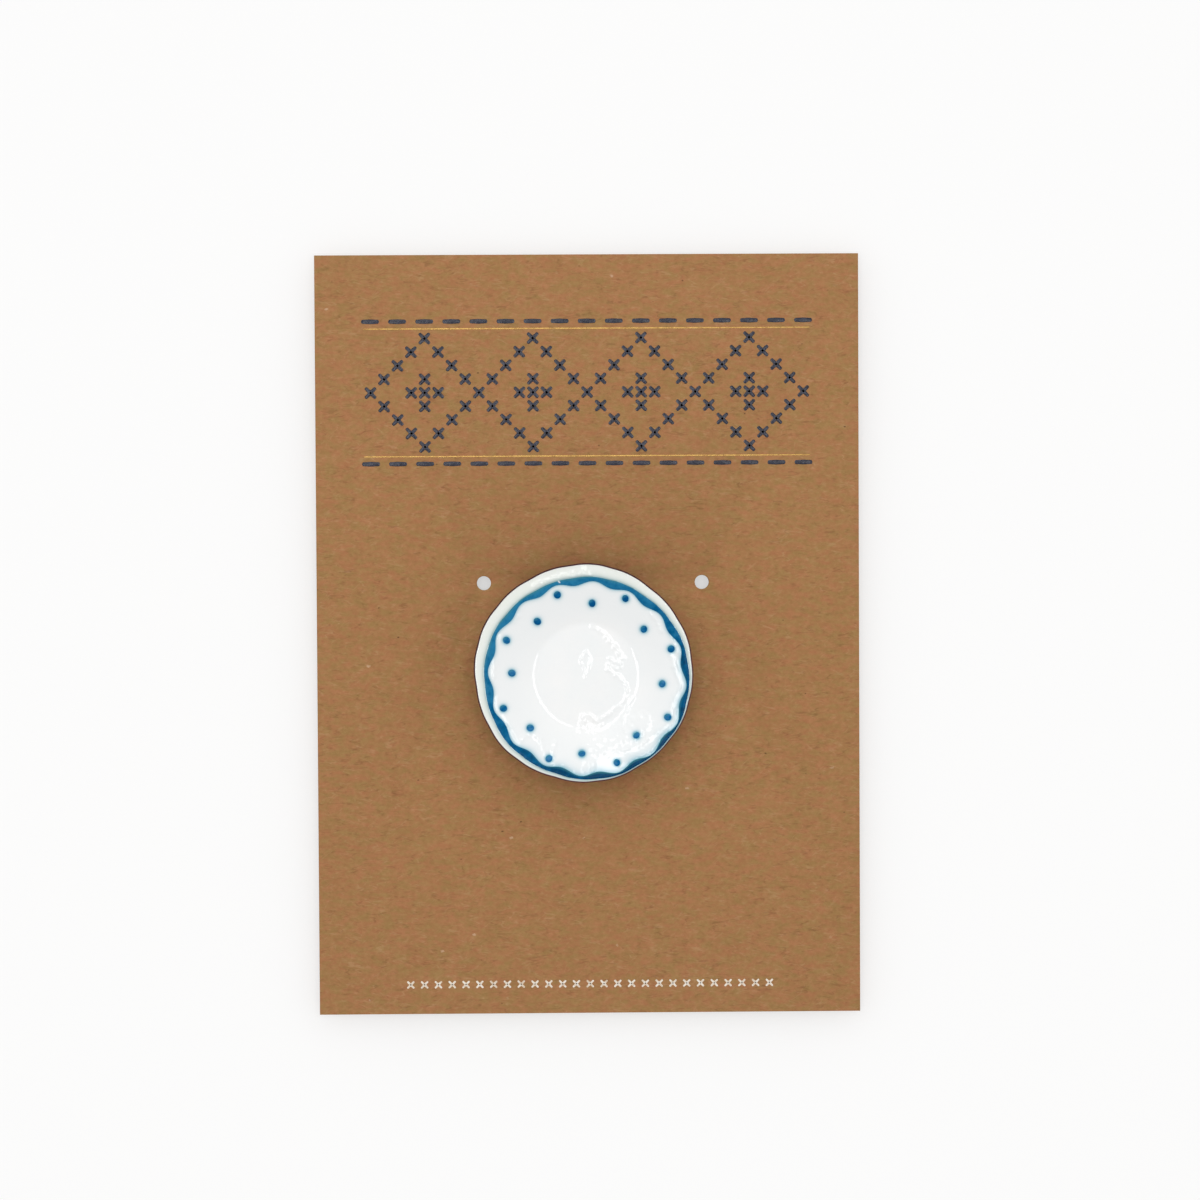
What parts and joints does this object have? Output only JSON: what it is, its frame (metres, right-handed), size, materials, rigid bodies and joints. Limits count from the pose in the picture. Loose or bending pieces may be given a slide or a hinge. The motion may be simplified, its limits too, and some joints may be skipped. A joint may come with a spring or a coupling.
{
  "type": "needle minder",
  "caption": "Magnetic needle minder with a miniature glazed plate, blue scalloped band and dots, clamped to a kraft card by a loose rear magnet.",
  "frame": {"origin": "middle of the rear magnet's back face, which the whole part stands on", "axes": "+Z out of the plate's face, +Y to the top of the card, +X to its right"},
  "size_m": [0.0635, 0.0889, 0.0081],
  "materials": {
    "nickel": "polished nickel plate over a sintered magnet",
    "kraft_card": "uncoated kraft paper board with visible fibres",
    "adhesive": "cured clear craft glue, slightly cloudy",
    "white_glaze": "glossy white glaze, a little wavy",
    "blue_enamel": "glossy brushed blue, pooled darker in places"
  },
  "bodies": {
    "rear_magnet": {"rear_magnet": "nickel"},
    "card": {"backing_card": "kraft_card"},
    "front": {"front_magnet": "nickel", "adhesive": "adhesive", "plate": "white_glaze", "painted_border": "blue_enamel", "painted_dot_01": "blue_enamel", "painted_dot_02": "blue_enamel", "painted_dot_03": "blue_enamel", "painted_dot_04": "blue_enamel", "painted_dot_05": "blue_enamel", "painted_dot_06": "blue_enamel", "painted_dot_07": "blue_enamel", "painted_dot_08": "blue_enamel", "painted_dot_09": "blue_enamel", "painted_dot_10": "blue_enamel", "painted_dot_11": "blue_enamel", "painted_dot_12": "blue_enamel", "painted_dot_13": "blue_enamel", "painted_dot_14": "blue_enamel", "painted_dot_15": "blue_enamel", "painted_dot_16": "blue_enamel"}
  },
  "joints": [
    {"name": "card_lift", "type": "slide", "parent": "rear_magnet", "child": "card", "axis": [0, 0, 1], "range_m": [0, 0.02], "stiffness_N_per_m": 0.5, "springref_m": -0.16},
    {"name": "front_lift", "type": "slide", "parent": "card", "child": "front", "axis": [0, 0, 1], "range_m": [0, 0.02], "stiffness_N_per_m": 0.5, "springref_m": -0.1}
  ]
}
